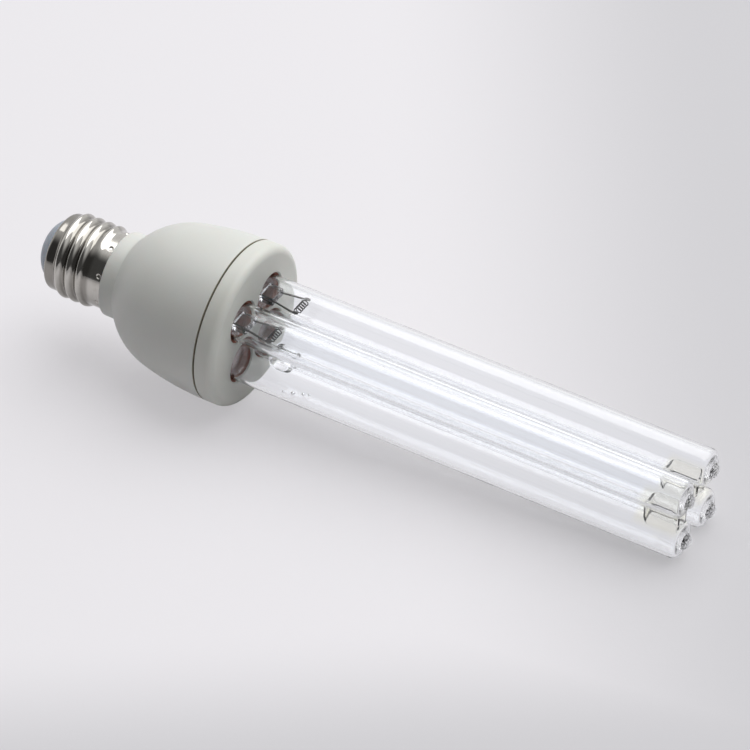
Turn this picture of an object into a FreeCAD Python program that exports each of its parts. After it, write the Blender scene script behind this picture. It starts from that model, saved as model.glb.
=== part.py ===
"""Clear quartz UV lamp with a screw cap, lying on its cover's edge and its two lower tubes.

Every piece is drawn in the lamp's own frame: z runs along the lamp from the contact's tip to the tube tips,
x points down and y away from the viewer. One placement then lays the whole lamp on the ground.
"""
import FreeCAD, Part
import os
import re
import Sketcher

# Sizes in millimetres, each set by itself
SIZES = {
    # screw cap
    "insulator_height": 6.0,
    "insulator_tip_radius": 5.4,
    "insulator_curve": 8.0,
    "insulator_flange": 3.0,
    "contact_radius": 4.6,
    "contact_height": 1.3,
    "contact_stem_radius": 1.6,
    "shell_length": 20.4,
    "shell_wall": 0.35,
    "shell_lip_width": 1.7,
    "shell_corner_radius": 1.2,
    "thread_height": 1.05,
    "thread_root_radius": 12.1,
    "thread_pitch": 3.629,
    "thread_turns": 3.6,
    "thread_start": 2.6,
    "thread_base_width": 3.2,
    # ballast case
    "neck_step": 1.3,
    "neck_length": 4.95,
    "neck_boss_length": 13.0,
    "neck_boss_wall": 1.4,
    "neck_edge_radius": 0.5,
    "crease_radius": 1.6,
    "shoulder_step": 2.69,
    "shoulder_height": 13.65,
    "shoulder_curve": 24.0,
    "body_height": 22.0,
    "body_curve": 95.0,
    "seam_radius": 25.55,
    "case_wall": 1.7,
    "board_seat_depth": 9.5,
    "board_seat_width": 1.65,
    # cover
    "seam_gap": 0.35,
    "cover_height": 6.4,
    "cover_edge_radius": 2.5,
    "cover_wall": 2.0,
    "spigot_wall": 1.4,
    "hole_radius": 6.7,
    "sleeve_wall": 1.3,
    "sleeve_depth": 2.5,
    "cement_top": 5.4,
    # quartz vessel, stations measured from the seam
    "tube_radius": 6.0,
    "tube_wall": 1.0,
    "tube_spacing": 15.3,
    "tube_foot": 3.5,
    "tube_end": 153.6,
    "tube_end_radius": 2.4,
    "tip_radius": 3.0,
    "tip_height": 2.3,
    "bridge_length": 11.4,
    "bridge_width": 7.6,
    "far_bridge_station": 145.0,
    "near_bridge_station": 147.0,
    "base_bridge_station": 16.5,
    "pinch_width": 10.6,
    "pinch_thickness": 3.2,
    "pinch_depth": 5.0,
    "pinch_top": 6.5,
    # electrodes
    "foil_width": 2.0,
    "foil_thickness": 0.2,
    "foil_length": 6.0,
    "foil_top": 3.0,
    "lead_radius": 0.3,
    "lead_spacing": 4.4,
    "lead_spread": 7.2,
    "coil_station": 17.5,
    "coil_radius": 1.0,
    "coil_wire_radius": 0.18,
    "coil_turns": 6,
    "coil_clearance": 0.05,
    "bead_radius": 0.6,
    "bead_station": 24.0,
    "bead_spacing": 4.0,
    # ballast
    "fit_clearance": 0.15,
    "part_gap": 1.0,
    "board_thickness": 1.6,
    "capacitor_radius": 5.0,
    "capacitor_length": 18.0,
    "choke_width": 13.0,
    "choke_depth": 10.0,
    "choke_height": 12.0,
    "choke_leg": 3.6,
    "choke_yoke": 1.9,
    "winding_overhang": 2.0,
    "ring_outer_radius": 4.5,
    "ring_inner_radius": 2.2,
    "ring_height": 3.5,
    "transistor_width": 8.0,
    "transistor_depth": 2.7,
    "transistor_height": 11.0,
    "film_width": 10.0,
    "film_depth": 4.5,
    "film_height": 9.0,
    "start_width": 7.5,
    "start_depth": 3.5,
    "start_height": 7.0,
    "diode_radius": 1.3,
    "diode_length": 4.5,
    "resistor_radius": 1.2,
    "resistor_length": 6.0,
    "fuse_radius": 1.6,
    "fuse_length": 6.5,
    "wire_radius": 0.6,
}

# Stations along the lamp, from the contact's tip
SHELL = "insulator_height"
INSULATOR_TOP = f"({SHELL} + shell_wall + insulator_flange)"
RIM = f"({SHELL} + shell_length)"
BOWL = f"({RIM} + neck_length)"
SHOULDER = f"({BOWL} + shoulder_height)"
SEAM = f"({SHOULDER} + body_height)"
FACE = f"({SEAM} + cover_height)"
FACE_BACK = f"({FACE} - cover_wall)"
SEAT = f"({SEAM} - board_seat_depth)"
BOARD_TOP = f"({SEAT} + board_thickness)"
SLEEVE_END = f"({SEAM} - sleeve_depth)"

# Radii that two pieces share
SHELL_BORE = "(thread_root_radius - shell_wall)"
LIP = "(thread_root_radius - shell_lip_width)"
CREST = "(thread_root_radius + thread_height)"
BOSS = f"({SHELL_BORE} - fit_clearance)"
NECK_BORE = f"({BOSS} - neck_boss_wall)"
NECK = "(thread_root_radius + neck_step)"
SHOULDER_SIDE = "(seam_radius - shoulder_step)"
MOUTH = "(seam_radius - case_wall)"
SPIGOT = f"({MOUTH} - fit_clearance)"
TUBE_BORE = "(tube_radius - tube_wall)"
HALF = "(tube_spacing / 2)"

# Tube axes
TUBES = {
    "upper_far": (f"-{HALF}", HALF),
    "upper_near": (f"-{HALF}", f"-{HALF}"),
    "lower_near": (HALF, f"-{HALF}"),
    "lower_far": (HALF, HALF),
}
ELECTRODES = {"far": TUBES["upper_far"], "near": TUBES["upper_near"]}

# Rotations of a rod that is drawn along z
DOWN = FreeCAD.Rotation(FreeCAD.Vector(0, 1, 0), 90)
AWAY = FreeCAD.Rotation(FreeCAD.Vector(1, 0, 0), -90)

doc = FreeCAD.newDocument("uv_lamp")
sheet = doc.addObject("Spreadsheet::Sheet", "dims")
for row, (size_name, size) in enumerate(SIZES.items(), start=1):
    sheet.set(f"A{row}", size_name)
    sheet.set(f"B{row}", str(size))
    sheet.setAlias(f"B{row}", size_name)
doc.recompute()

pieces = []


def bound(text):
    """The expression with each size name pointed at its cell in the sheet."""
    def cell(match):
        word = match.group()
        return f"dims.{word}" if word in SIZES else word
    return re.sub(r"[a-z]\w*", cell, str(text))


def value(text):
    """The present value of an expression."""
    return float(sheet.evalExpression(bound(text)))


def bind(item, **expressions):
    """Binds properties of an object to expressions."""
    for name, text in expressions.items():
        item.setExpression(name, bound(text))


def at(item, x="0", y="0", z="0"):
    """Sets an object's place in the lamp's frame."""
    for axis, text in zip("xyz", (x, y, z)):
        item.setExpression(f"Placement.Base.{axis}", bound(text))
    return item


def lay_down():
    """The placement that lays the lamp on the edge of its cover and the ends of its lower tubes."""
    edge_x = "(seam_radius - cover_edge_radius)"
    edge_z = f"({FACE} - cover_edge_radius)"
    end_x = f"({HALF} + tube_radius - tube_end_radius)"
    end_z = f"({SEAM} + tube_end - tube_end_radius)"
    drop = f"({edge_x} - {end_x})"
    reach = f"({end_z} - {edge_z})"
    between = f"sqrt({drop} ^ 2 + {reach} ^ 2)"
    tilt = f"(atan({drop} / {reach}) + asin((cover_edge_radius - tube_end_radius) / {between}))"
    tip_ball = "((tip_radius ^ 2 + tip_height ^ 2) / (2 * tip_height))"
    tip_centre = f"({SEAM} + tube_end + tip_height - {tip_ball})"
    front = f"(cos({tilt}) * {tip_centre} + sin({tilt}) * {HALF} + {tip_ball})"
    contact_ball = "((contact_radius ^ 2 + contact_height ^ 2) / (2 * contact_height))"
    back = f"((cos({tilt}) - 1) * {contact_ball})"
    frame = doc.addObject("App::Placement", "ground_frame")
    frame.Placement = FreeCAD.Placement(FreeCAD.Vector(), DOWN)
    rise = f"cos({tilt}) * {edge_x} + sin({tilt}) * {edge_z} + cover_edge_radius"
    at(frame, x=f"-({front} + {back}) / 2", z=rise)
    frame.setExpression("Placement.Rotation.Angle", bound(f"90 deg + {tilt}"))


def finish(item, label):
    """Names a piece and lays it down with the rest of the lamp."""
    item.Label = label
    item.setExpression("Placement", "ground_frame.Placement")
    pieces.append(item)


def arc_between(start, end, radius):
    """A short arc that bulges to the right of the way from start to end, or to the left if negative."""
    if radius < 0:
        start, end = end, start
    chord = end - start
    side = FreeCAD.Vector(chord.y, -chord.x, 0).normalize()
    rise = abs(radius) - (radius ** 2 - (chord.Length / 2) ** 2) ** 0.5
    return Part.Arc(start, (start + end) / 2 + side * rise, end)


def draw(sketch, corners):
    """Draws a closed outline. A corner is (x, y) or (x, y, radius of the arc to the next corner)."""
    points = [FreeCAD.Vector(value(corner[0]), value(corner[1]), 0) for corner in corners]
    sides = []
    for index, corner in enumerate(corners):
        start = points[index]
        end = points[(index + 1) % len(points)]
        head, tail = 1, 2
        if len(corner) == 3:
            radius = value(corner[2])
            side = sketch.addGeometry(arc_between(start, end, radius))
            size = sketch.addConstraint(Sketcher.Constraint("Radius", side, abs(radius)))
            sketch.setExpression(f"Constraints[{size}]", bound(f"abs({corner[2]})"))
            if sketch.Geometry[side].StartPoint.distanceToPoint(start) > 1e-6:
                head, tail = 2, 1
        else:
            side = sketch.addGeometry(Part.LineSegment(start, end))
        sides.append((side, head, tail))
    for index, (side, head, _) in enumerate(sides):
        before, _, tail = sides[index - 1]
        sketch.addConstraint(Sketcher.Constraint("Coincident", before, tail, side, head))
        x, y = corners[index][:2]
        for kind, text, number in (("DistanceX", x, points[index].x), ("DistanceY", y, points[index].y)):
            size = sketch.addConstraint(Sketcher.Constraint(kind, -1, 1, side, head, number))
            sketch.setExpression(f"Constraints[{size}]", bound(text))


def turned(name, corners):
    """A body turned about the lamp's axis from corners given as (radius, station)."""
    body = doc.addObject("PartDesign::Body", name)
    sketch = body.newObject("Sketcher::SketchObject", f"{name}_outline")
    plane = next(item for item in body.Origin.OriginFeatures if item.Role == "XZ_Plane")
    sketch.AttachmentSupport = [(plane, "")]
    sketch.MapMode = "FlatFace"
    draw(sketch, corners)
    turn = body.newObject("PartDesign::Revolution", f"{name}_turn")
    turn.Profile = sketch
    turn.ReferenceAxis = (sketch, ["V_Axis"])
    turn.Angle = 360
    return body


def round_ring(body, name, radius, station, fillet_radius):
    """Rounds the circular edge of a turned body at a radius and a station."""
    doc.recompute()
    base = body.Tip
    fillet = body.newObject("PartDesign::Fillet", name)
    rings = []
    for number, edge in enumerate(base.Shape.Edges, start=1):
        ring = edge.Curve
        if isinstance(ring, Part.Circle) and abs(ring.Radius - value(radius)) < 1e-4:
            if abs(ring.Center.z - value(station)) < 1e-4:
                rings.append(f"Edge{number}")
    fillet.Base = (base, rings)
    bind(fillet, Radius=fillet_radius)


def rod(name, radius, length, x="0", y="0", z="0", turn=None):
    """A rod from a point, along the lamp or along a rotation of it."""
    whole = doc.addObject("Part::Cylinder", name)
    if turn:
        whole.Placement = FreeCAD.Placement(FreeCAD.Vector(), turn)
    bind(whole, Radius=radius, Height=length)
    return at(whole, x, y, z)


def block(name, width, depth, height, x, y, z):
    """A block whose middle in x and y, and whose lower end in z, are given."""
    whole = doc.addObject("Part::Box", name)
    bind(whole, Length=width, Width=depth, Height=height)
    return at(whole, f"{x} - ({width}) / 2", f"{y} - ({depth}) / 2", z)


def ball(name, radius, x, y, z):
    """A ball about a point."""
    whole = doc.addObject("Part::Sphere", name)
    bind(whole, Radius=radius)
    return at(whole, x, y, z)


def fuse(name, items):
    """The items joined to one solid."""
    whole = doc.addObject("Part::MultiFuse", name)
    whole.Shapes = items
    return whole


def cut(name, base, tool):
    """The base with the tool taken away."""
    rest = doc.addObject("Part::Cut", name)
    rest.Base = base
    rest.Tool = tool
    return rest


def group(name, items):
    """The items kept as separate solids of one object."""
    whole = doc.addObject("Part::Compound", name)
    whole.Links = items
    return whole


def make_screw_shell():
    """Thin shell with a lip at the front and a rounded ridge wound round it."""
    corner = "shell_corner_radius"
    inner_corner = "(shell_corner_radius - shell_wall)"
    sleeve = turned("shell_sleeve", [
        (LIP, SHELL),
        (f"thread_root_radius - {corner}", SHELL, corner),
        ("thread_root_radius", f"{SHELL} + {corner}"),
        ("thread_root_radius", RIM),
        (SHELL_BORE, RIM),
        (SHELL_BORE, f"{SHELL} + {corner}", f"-{inner_corner}"),
        (f"{SHELL_BORE} - {inner_corner}", f"{SHELL} + shell_wall"),
        (LIP, f"{SHELL} + shell_wall"),
    ])
    middle = f"({SHELL} + thread_start)"
    spine = doc.addObject("Part::Helix", "thread_spine")
    bind(spine, Pitch="thread_pitch", Height="thread_pitch * thread_turns", Radius="thread_root_radius")
    at(spine, z=middle)
    foot = "(thread_root_radius - shell_wall / 2)"
    rise = f"({CREST} - {foot})"
    half_width = "(thread_base_width / 2)"
    section = doc.addObject("Sketcher::SketchObject", "thread_section")
    section.Placement = FreeCAD.Placement(FreeCAD.Vector(), FreeCAD.Rotation(FreeCAD.Vector(1, 0, 0), 90))
    draw(section, [
        (foot, f"{middle} - {half_width}", f"({half_width} ^ 2 + {rise} ^ 2) / (2 * {rise})"),
        (foot, f"{middle} + {half_width}"),
    ])
    ridge = doc.addObject("Part::Sweep", "thread_ridge")
    ridge.Sections = [section]
    ridge.Spine = (spine, ["Edge1"])
    ridge.Solid = True
    ridge.Frenet = True
    shell = doc.addObject("Part::Fuse", "shell_whole")
    shell.Base = sleeve
    shell.Tool = ridge
    finish(shell, "screw_shell")


def make_cap_insulator():
    """Domed cone in front of the shell's lip, with a flange behind the lip."""
    neck = f"({LIP} - fit_clearance)"
    behind = f"({SHELL} + shell_wall)"
    chamfer = "shell_corner_radius"
    finish(turned("insulator", [
        ("contact_stem_radius", "contact_height"),
        ("insulator_tip_radius", "contact_height", "insulator_curve"),
        (neck, SHELL),
        (neck, behind),
        (f"{BOSS} - {chamfer}", behind),
        (BOSS, f"{behind} + {chamfer}"),
        (BOSS, INSULATOR_TOP),
        ("contact_stem_radius", INSULATOR_TOP),
    ]), "cap_insulator")


def make_centre_contact():
    """Domed rivet through the insulator."""
    dome = "(contact_radius ^ 2 + contact_height ^ 2) / (2 * contact_height)"
    finish(turned("contact", [
        ("0", "0", dome),
        ("contact_radius", "contact_height"),
        ("contact_stem_radius", "contact_height"),
        ("contact_stem_radius", INSULATOR_TOP),
        ("0", INSULATOR_TOP),
    ]), "centre_contact")


def make_ballast_case():
    """Bowl with a neck, a boss inside the screw shell and a ledge for the board."""
    case = turned("case", [
        (NECK_BORE, f"{RIM} - neck_boss_length"),
        (BOSS, f"{RIM} - neck_boss_length"),
        (BOSS, RIM),
        (NECK, RIM),
        (NECK, BOWL, "shoulder_curve"),
        (SHOULDER_SIDE, SHOULDER, "body_curve"),
        ("seam_radius", SEAM),
        (MOUTH, SEAM),
        (MOUTH, SEAT),
        (f"{MOUTH} - board_seat_width", SEAT),
        (f"{SHOULDER_SIDE} - case_wall", SHOULDER, "-(shoulder_curve - case_wall)"),
        (NECK_BORE, f"{BOWL} + case_wall"),
    ])
    round_ring(case, "neck_edge", NECK, RIM, "neck_edge_radius")
    round_ring(case, "neck_crease", NECK, BOWL, "crease_radius")
    finish(case, "ballast_case")


def make_lamp_cover():
    """Lid with a spigot that holds the board down and a sleeve behind each hole."""
    lid = turned("lid", [
        ("0", FACE_BACK),
        (f"{SPIGOT} - spigot_wall", FACE_BACK),
        (f"{SPIGOT} - spigot_wall", BOARD_TOP),
        (SPIGOT, BOARD_TOP),
        (SPIGOT, f"{SEAM} + seam_gap"),
        ("seam_radius", f"{SEAM} + seam_gap"),
        ("seam_radius", f"{FACE} - cover_edge_radius", "cover_edge_radius"),
        ("seam_radius - cover_edge_radius", FACE),
        ("0", FACE),
    ])
    sleeves = []
    holes = []
    for name, (x, y) in TUBES.items():
        depth = f"{FACE} - cover_wall / 2 - {SLEEVE_END}"
        sleeves.append(rod(f"sleeve_{name}", "hole_radius + sleeve_wall", depth, x, y, SLEEVE_END))
        through = f"{FACE} - {SLEEVE_END} + 2 * cover_wall"
        holes.append(rod(f"hole_{name}", "hole_radius", through, x, y, f"{SLEEVE_END} - cover_wall"))
    cover = cut("cover_whole", fuse("cover_sleeved", [lid, *sleeves]), group("cover_holes", holes))
    finish(cover, "lamp_cover")


def tube(name, radius, foot, end, corner, tip):
    """A closed tube turned from corners, with a small domed tip where one is wanted."""
    corners = [
        ("0", foot),
        (f"{radius} - {corner}", foot, corner),
        (radius, f"{foot} + {corner}"),
        (radius, f"{end} - {corner}", corner),
        (f"{radius} - {corner}", end),
    ]
    if tip:
        dome = "(tip_radius ^ 2 + tip_height ^ 2) / (2 * tip_height)"
        corners += [("tip_radius", end, dome), ("0", f"{end} + tip_height")]
    else:
        corners.append(("0", end))
    return turned(name, corners)


def bridge(name, shrink, station, side, turn):
    """A short flattened tube between two tube axes, drawn as two rods and the block between them."""
    radius = f"(bridge_width / 2 - {shrink})"
    middle = f"({SEAM} + {station})"
    offset = "((bridge_length - bridge_width) / 2)"
    ends = []
    for end, sign in (("low", "-"), ("high", "+")):
        z = f"{middle} {sign} {offset}"
        x, y = (f"-{HALF}", side) if turn is DOWN else (side, f"-{HALF}")
        ends.append(rod(f"{name}_{end}", radius, "tube_spacing", x, y, z, turn))
    across = f"2 * {radius}"
    sizes = ("tube_spacing", across) if turn is DOWN else (across, "tube_spacing")
    x, y = ("0", side) if turn is DOWN else (side, "0")
    web = block(f"{name}_web", *sizes, f"2 * {offset}", x, y, f"{middle} - {offset}")
    return [*ends, web]


def make_vessel_outside():
    """The outer form of the quartz vessel: tubes, bridges and pinch seals."""
    forms = []
    for name, (x, y) in TUBES.items():
        foot = f"({SEAM} + tube_foot)"
        end = f"({SEAM} + tube_end)"
        forms.append(at(tube(f"tube_{name}", "tube_radius", foot, end, "tube_end_radius", True), x, y))
    forms += bridge("far_bridge", "0", "far_bridge_station", HALF, DOWN)
    forms += bridge("near_bridge", "0", "near_bridge_station", f"-{HALF}", DOWN)
    forms += bridge("base_bridge", "0", "base_bridge_station", HALF, AWAY)
    for name, (x, y) in ELECTRODES.items():
        height = "pinch_depth + (tube_foot + pinch_top) / 2"
        z = f"{SEAM} - pinch_depth"
        forms.append(block(f"pinch_{name}", "pinch_thickness", "pinch_width", height, x, y, z))
    return fuse("vessel_outside", forms)


def make_vessel_inside():
    """The space inside the quartz vessel."""
    forms = []
    corner = "(tube_end_radius - tube_wall)"
    for name, (x, y) in TUBES.items():
        foot = "pinch_top" if name.startswith("upper") else "tube_foot + tube_wall"
        end = f"({SEAM} + tube_end - tube_wall)"
        space = tube(f"space_{name}", TUBE_BORE, f"({SEAM} + {foot})", end, corner, False)
        forms.append(at(space, x, y))
    forms += bridge("far_passage", "tube_wall", "far_bridge_station", HALF, DOWN)
    forms += bridge("near_passage", "tube_wall", "near_bridge_station", f"-{HALF}", DOWN)
    forms += bridge("base_passage", "tube_wall", "base_bridge_station", HALF, AWAY)
    return fuse("vessel_inside", forms)


def make_coil(name, length):
    """A filament coil along y whose ends lie on the side of the pinch seal."""
    spine = doc.addObject("Part::Helix", f"coil_spine_{name}")
    bind(spine, Pitch=f"{length} / coil_turns", Height=length, Radius="coil_radius")
    section = doc.addObject("Part::Circle", f"coil_section_{name}")
    section.Placement = FreeCAD.Placement(FreeCAD.Vector(), FreeCAD.Rotation(FreeCAD.Vector(1, 0, 0), 90))
    bind(section, Radius="coil_wire_radius")
    at(section, x="coil_radius")
    coil = doc.addObject("Part::Sweep", f"coil_{name}")
    coil.Sections = [section]
    coil.Spine = (spine, ["Edge1"])
    coil.Solid = True
    coil.Frenet = True
    turn = FreeCAD.Rotation(
        FreeCAD.Vector(0, 0, -1), FreeCAD.Vector(-1, 0, 0), FreeCAD.Vector(0, 1, 0), "ZXY"
    )
    coil.Placement = FreeCAD.Placement(FreeCAD.Vector(), turn)
    return coil


def make_electrodes():
    """Filament, leads and seal foils of each electrode; returns what the glass is moulded round."""
    embedded = []
    foil_top = f"({SEAM} + foil_top)"
    foil_end = f"({SEAM} + foil_top - foil_length)"
    rise = "(coil_station + coil_radius - foil_top)"
    lean = f"atan((lead_spread - lead_spacing) / 2 / {rise})"
    coil_end = f"lead_radius / cos({lean}) + coil_wire_radius + coil_clearance"
    coil_length = f"(lead_spread - 2 * ({coil_end}) - 4 * coil_radius * tan({lean}))"
    for name, (x, y) in ELECTRODES.items():
        inner = []
        outer = []
        foils = []
        for end, sign in (("a", 1), ("b", -1)):
            side = f"{y} + {sign} * lead_spacing / 2"
            lead = rod(
                f"inner_lead_{name}_{end}", "lead_radius", f"{rise} / cos({lean})",
                x, side, f"{foil_top} + lead_radius * sin({lean})",
                FreeCAD.Rotation(FreeCAD.Vector(-sign, 0, 0), 1),
            )
            lead.setExpression("Placement.Rotation.Angle", bound(lean))
            inner.append(lead)
            foils.append(block(
                f"foil_{name}_{end}", "foil_thickness", "foil_width", "foil_length", x, side, foil_end,
            ))
            length = f"{foil_end} - {BOARD_TOP}"
            outer.append(rod(f"outer_lead_{name}_{end}", "lead_radius", length, x, side, BOARD_TOP))
        coil = at(make_coil(name, coil_length), x, f"{y} - {coil_length} / 2", f"{SEAM} + coil_station")
        finish(group(f"filament_{name}", [coil]), f"filament_{name}")
        finish(group(f"inner_leads_{name}", inner), f"inner_leads_{name}")
        finish(group(f"seal_foils_{name}", foils), f"seal_foils_{name}")
        finish(group(f"outer_leads_{name}", outer), f"outer_leads_{name}")
        embedded += [*inner, *foils, *outer]
    return embedded


def make_quartz_vessel():
    """One fused vessel with the electrodes sealed in, and the cement round its feet."""
    outside = make_vessel_outside()
    embedded = make_electrodes()
    hollow = cut("vessel_hollow", outside, make_vessel_inside())
    finish(cut("vessel_whole", hollow, group("vessel_embedded", embedded)), "quartz_vessel")
    fillings = []
    for name, (x, y) in TUBES.items():
        depth = "sleeve_depth + cement_top"
        fillings.append(rod(f"filling_{name}", "hole_radius", depth, x, y, SLEEVE_END))
    finish(cut("cement_whole", group("cement_fillings", fillings), outside), "tube_cement")


def make_mercury_beads():
    """Two drops on the floor of the lower near tube."""
    x, y = TUBES["lower_near"]
    floor = f"{x} + {TUBE_BORE} - bead_radius"
    beads = []
    for end, sign in (("a", "+"), ("b", "-")):
        z = f"{SEAM} + bead_station {sign} bead_spacing / 2"
        beads.append(ball(f"bead_{end}", "bead_radius", floor, y, z))
    finish(group("beads", beads), "mercury_beads")


def make_circuit_board():
    """Round board on the ledge of the case; the outer leads end on its upper side."""
    disc = rod("board_disc", SPIGOT, "board_thickness", z=SEAT)
    finish(group("board_whole", [disc]), "circuit_board")


# The ballast's parts sit on the board's lower side, side by side, with one gap between neighbours
LEFT_EDGE = "(wire_radius + part_gap)"
CHOKE_X = "(wire_radius + 2 * part_gap + choke_width / 2)"
CHOKE_SIDE = "(choke_depth / 2 + winding_overhang)"
TRANSISTOR_Y = f"({CHOKE_SIDE} + part_gap + transistor_depth / 2)"
OUTER_Y = f"({TRANSISTOR_Y} + transistor_depth / 2 + part_gap)"


def hanging(name, width, depth, height, x, y):
    """A block on the lower side of the board."""
    return block(name, width, depth, height, x, y, f"{SEAT} - ({height})")


def make_choke():
    """Core with two windows, and the winding that fills them round its middle leg."""
    window = "((choke_width - choke_leg - 2 * choke_yoke) / 2)"
    height = "(choke_height - 2 * choke_yoke)"
    shift = f"((choke_leg + {window}) / 2)"
    z = f"{SEAT} - choke_height + choke_yoke"
    core = hanging("core_block", "choke_width", "choke_depth", "choke_height", CHOKE_X, "0")
    windows = []
    for end, sign in (("a", "+"), ("b", "-")):
        x = f"{CHOKE_X} {sign} {shift}"
        windows.append(block(f"core_window_{end}", window, "choke_depth", height, x, "0", z))
    finish(cut("core_whole", core, group("core_windows", windows)), "choke_core")
    gap = "fit_clearance"
    span = f"choke_leg + 2 * {window} - 2 * {gap}"
    depth = f"2 * {CHOKE_SIDE}"
    coil = block("winding_block", span, depth, f"{height} - 2 * {gap}", CHOKE_X, "0", f"{z} + {gap}")
    sizes = (f"choke_leg + 2 * {gap}", f"choke_depth + 2 * {gap}", height)
    finish(cut("winding_whole", coil, block("winding_hole", *sizes, CHOKE_X, "0", z)), "choke_winding")


def make_ballast_parts():
    """Capacitors, transistors, ring, diodes and resistors on the board."""
    x = f"-({LEFT_EDGE} + capacitor_radius)"
    y = "part_gap / 2 + capacitor_radius"
    can = rod("can", "capacitor_radius", "capacitor_length", x, y, f"{SEAT} - capacitor_length")
    finish(group("can_whole", [can]), "smoothing_capacitor")
    x = f"-({LEFT_EDGE} + film_width / 2)"
    y = "-(part_gap / 2 + film_depth / 2)"
    film = hanging("film", "film_width", "film_depth", "film_height", x, y)
    finish(group("film_whole", [film]), "resonant_capacitor")
    x = f"-({LEFT_EDGE} + ring_outer_radius)"
    y = "-(1.5 * part_gap + film_depth + ring_outer_radius)"
    z = f"{SEAT} - ring_height"
    ring = rod("ring_outer", "ring_outer_radius", "ring_height", x, y, z)
    hole = rod("ring_hole", "ring_inner_radius", "ring_height", x, y, z)
    finish(cut("ring_whole", ring, hole), "trigger_ring")
    for name, y in (("upper", TRANSISTOR_Y), ("lower", f"-{TRANSISTOR_Y}")):
        sizes = ("transistor_width", "transistor_depth", "transistor_height")
        chip = hanging(f"chip_{name}", *sizes, CHOKE_X, y)
        finish(group(f"chip_{name}_whole", [chip]), f"transistor_{name}")
    start = hanging(
        "start", "start_width", "start_depth", "start_height", CHOKE_X, f"-({OUTER_Y} + start_depth / 2)",
    )
    finish(group("start_whole", [start]), "start_capacitor")
    x = f"{CHOKE_X} - fuse_length / 2"
    fuse_rod = rod("fuse_rod", "fuse_radius", "fuse_length", x, f"{OUTER_Y} + fuse_radius",
                   f"{SEAT} - fuse_radius", DOWN)
    finish(group("fuse_whole", [fuse_rod]), "fuse_resistor")
    resistors = []
    x = f"{CHOKE_X} + choke_width / 2 + part_gap + resistor_radius"
    for end, y in (("a", "part_gap / 2"), ("b", "-part_gap / 2 - resistor_length")):
        resistors.append(rod(f"resistor_{end}", "resistor_radius", "resistor_length", x, y,
                             f"{SEAT} - resistor_radius", AWAY))
    finish(group("resistors_whole", resistors), "base_resistors")
    diodes = []
    x = f"-({LEFT_EDGE} + 2 * capacitor_radius + part_gap + diode_radius)"
    for place in (-2, -1, 0, 1):
        y = f"{place} * (diode_length + part_gap) + part_gap / 2"
        diodes.append(rod(f"diode_{place + 2}", "diode_radius", "diode_length", x, y,
                          f"{SEAT} - diode_radius", AWAY))
    finish(group("diodes_whole", diodes), "rectifier_diodes")


def make_wires():
    """Wires from the board to the contact and to the screw shell."""
    straight = rod("contact_rod", "wire_radius", f"{SEAT} - {INSULATOR_TOP}", z=INSULATOR_TOP)
    finish(group("contact_wire_whole", [straight]), "contact_wire")
    y = f"({NECK_BORE} - part_gap - wire_radius)"
    z = f"({RIM} - neck_boss_length - fit_clearance - wire_radius)"
    reach = f"sqrt({SHELL_BORE} ^ 2 - wire_radius ^ 2) - {y}"
    finish(fuse("shell_wire_whole", [
        rod("shell_wire_rise", "wire_radius", f"{SEAT} - {z}", "0", y, z),
        ball("shell_wire_bend", "wire_radius", "0", y, z),
        rod("shell_wire_end", "wire_radius", reach, "0", y, z, AWAY),
    ]), "shell_wire")


def check(item):
    """Stops if an object failed to rebuild."""
    if "Invalid" in item.State or "Error" in item.State:
        raise RuntimeError(f"{item.Label} failed: {item.State}")


def write_parts():
    """Checks everything and writes one file for each piece."""
    doc.recompute()
    for item in doc.Objects:
        check(item)
    for item in pieces:
        if item.Shape.isNull() or not item.Shape.isValid():
            raise RuntimeError(f"{item.Label} has no valid shape")
    os.makedirs("parts", exist_ok=True)
    for item in pieces:
        item.Shape.exportStep(f"parts/{item.Label}.step")
        box = item.Shape.BoundBox
        print(item.Label, len(item.Shape.Solids), round(item.Shape.Volume, 2), round(box.ZMin, 3))


lay_down()
make_screw_shell()
make_cap_insulator()
make_centre_contact()
make_ballast_case()
make_lamp_cover()
make_quartz_vessel()
make_mercury_beads()
make_circuit_board()
make_choke()
make_ballast_parts()
make_wires()
write_parts()
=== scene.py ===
"""Looks of the clear quartz UV lamp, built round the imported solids."""
import math

import bmesh
import bpy
from mathutils import Euler, Matrix, Vector, noise


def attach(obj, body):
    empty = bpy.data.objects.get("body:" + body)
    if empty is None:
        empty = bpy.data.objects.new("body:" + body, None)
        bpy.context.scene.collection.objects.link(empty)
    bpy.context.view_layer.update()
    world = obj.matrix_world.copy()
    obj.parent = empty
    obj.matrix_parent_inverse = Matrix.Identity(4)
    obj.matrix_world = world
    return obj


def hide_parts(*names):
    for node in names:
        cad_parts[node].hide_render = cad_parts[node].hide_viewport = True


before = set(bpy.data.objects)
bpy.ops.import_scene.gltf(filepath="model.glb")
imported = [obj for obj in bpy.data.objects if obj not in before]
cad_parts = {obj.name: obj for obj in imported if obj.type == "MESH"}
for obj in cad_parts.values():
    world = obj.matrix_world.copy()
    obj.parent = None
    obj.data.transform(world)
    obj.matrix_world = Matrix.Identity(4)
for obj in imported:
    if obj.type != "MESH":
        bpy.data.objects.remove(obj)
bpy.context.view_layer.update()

# The lamp's own frame, in millimetres: z runs along the lamp from the contact's tip, x points down and
# y points away from the viewer. At rest the cap end is raised by the tilt, in degrees.
MM = 0.001
REST_TILT = 4.6186
CONTACT_TIP = Vector((-111.3869, 0.0, 31.184)) * MM
LAMP_TURN = Euler((0.0, math.radians(90 + REST_TILT), 0.0))
LAMP = Matrix.Translation(CONTACT_TIP) @ LAMP_TURN.to_matrix().to_4x4() @ Matrix.Scale(MM, 4)

# Stations along the lamp
SHELL_FRONT = 6.0
RIM = 26.4
BOWL = 31.35
SHOULDER = 45.0
SEAM = 67.0
FACE = 73.4
TUBE_FOOT = 70.5
TUBE_END = 220.6
TIP = 222.885

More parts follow.
